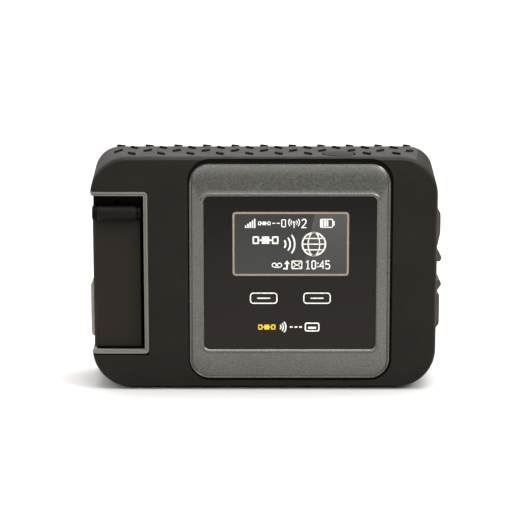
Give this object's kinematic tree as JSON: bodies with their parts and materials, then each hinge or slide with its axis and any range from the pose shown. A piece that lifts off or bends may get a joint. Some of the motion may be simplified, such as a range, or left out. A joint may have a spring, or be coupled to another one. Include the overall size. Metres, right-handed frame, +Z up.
{
  "type": "portable satellite hotspot",
  "caption": "Hand-sized satellite hotspot with a flip-up antenna, status display, soft keys, power button and covered side ports.",
  "frame": {"origin": "centre of the footprint, on the surface that the lower tread blocks rest on", "axes": "+Z up, the display faces -Y, the antenna bay is at -X and the ports are at +X"},
  "size_m": [0.1156, 0.0318, 0.0775],
  "materials": {
    "shell_plastic": "fine matt soft-touch",
    "seal_rubber": "smooth",
    "tread_rubber": "matt moulded rubber",
    "bezel_metal": "sparkling metallic paint",
    "window_gloss": "polished",
    "display_grey": "lit grey screen",
    "inner_plastic": "moulded",
    "board_green": "solder mask",
    "spring_steel": "plain",
    "key_plastic": "satin",
    "bay_plastic": "matt black",
    "trim_grey": "satin",
    "arm_plastic": "fine matt",
    "core_ceramic": "plain",
    "copper": "bright",
    "plated_brass": "bright",
    "cover_rubber": "matt",
    "guard_grey": "satin",
    "red_plastic": "satin",
    "can_steel": "tinned",
    "card_white": "plain",
    "battery_plastic": "matt",
    "screw_steel": "dark plated"
  },
  "bodies": {
    "housing": {"front_shell": "shell_plastic", "rear_shell": "shell_plastic", "main_gasket": "seal_rubber", "top_tread_strip": "tread_rubber", "bottom_tread_strip": "tread_rubber", "display_bezel": "bezel_metal", "bezel_seal": "seal_rubber", "display_window": "window_gloss", "display_module": "display_grey", "display_bracket": "inner_plastic", "key_board": "board_green", "key_domes": "spring_steel", "power_switch": "inner_plastic", "antenna_bay": "bay_plastic", "bay_trim": "trim_grey", "hinge_bracket": "bay_plastic", "hinge_pin": "spring_steel", "friction_washers": "spring_steel", "antenna_lead": "seal_rubber", "port_panel": "inner_plastic", "antenna_socket": "plated_brass", "data_socket": "spring_steel", "antenna_cover_pin": "spring_steel", "data_cover_pin": "spring_steel", "guard_pin": "spring_steel", "emergency_switch": "inner_plastic", "main_board": "board_green", "board_screws": "spring_steel", "satellite_modem": "can_steel", "radio_shield": "can_steel", "position_antenna": "core_ceramic", "wireless_antenna": "copper", "sim_holder": "spring_steel", "sim_card": "card_white", "battery_pack": "battery_plastic", "battery_contacts": "plated_brass", "battery_door": "shell_plastic", "door_gasket": "seal_rubber", "door_screws": "screw_steel", "case_screws": "screw_steel", "case_inserts": "plated_brass"},
    "antenna_arm": {"antenna_front_cover": "arm_plastic", "antenna_back_cover": "arm_plastic", "antenna_core": "core_ceramic", "antenna_windings": "copper"},
    "left_key": {"left_key": "key_plastic"},
    "right_key": {"right_key": "key_plastic"},
    "power_button": {"power_button": "tread_rubber"},
    "antenna_port_cover": {"antenna_port_cover": "cover_rubber"},
    "data_port_cover": {"data_port_cover": "cover_rubber"},
    "emergency_guard": {"emergency_guard": "guard_grey"},
    "emergency_button": {"emergency_button": "red_plastic"}
  },
  "joints": [
    {"name": "antenna_hinge", "type": "hinge", "parent": "housing", "child": "antenna_arm", "pos_m": [-0.0474, -0.0133, 0.05845], "axis": [-1, 0, 0], "range_deg": [0, 180]},
    {"name": "left_key_press", "type": "slide", "parent": "housing", "child": "left_key", "axis": [0, 1, 0], "range_m": [0, 0.0005], "stiffness_N_per_m": 800, "springref_m": -0.0003},
    {"name": "right_key_press", "type": "slide", "parent": "housing", "child": "right_key", "axis": [0, 1, 0], "range_m": [0, 0.0005], "stiffness_N_per_m": 800, "springref_m": -0.0003},
    {"name": "power_button_press", "type": "slide", "parent": "housing", "child": "power_button", "axis": [0, 0, -1], "range_m": [0, 0.0006], "stiffness_N_per_m": 1000, "springref_m": -0.0003},
    {"name": "antenna_cover_hinge", "type": "hinge", "parent": "housing", "child": "antenna_port_cover", "pos_m": [0.055, -0.0036, 0.05925], "axis": [0, -1, 0], "range_deg": [0, 95]},
    {"name": "data_cover_hinge", "type": "hinge", "parent": "housing", "child": "data_port_cover", "pos_m": [0.055, -0.0036, 0.01915], "axis": [0, 1, 0], "range_deg": [0, 95]},
    {"name": "emergency_guard_hinge", "type": "hinge", "parent": "housing", "child": "emergency_guard", "pos_m": [-0.0554, 0.0088, 0.03565], "axis": [0, 1, 0], "range_deg": [0, 95]},
    {"name": "emergency_button_press", "type": "slide", "parent": "housing", "child": "emergency_button", "axis": [1, 0, 0], "range_m": [0, 0.0006], "stiffness_N_per_m": 1000, "springref_m": -0.0003}
  ]
}
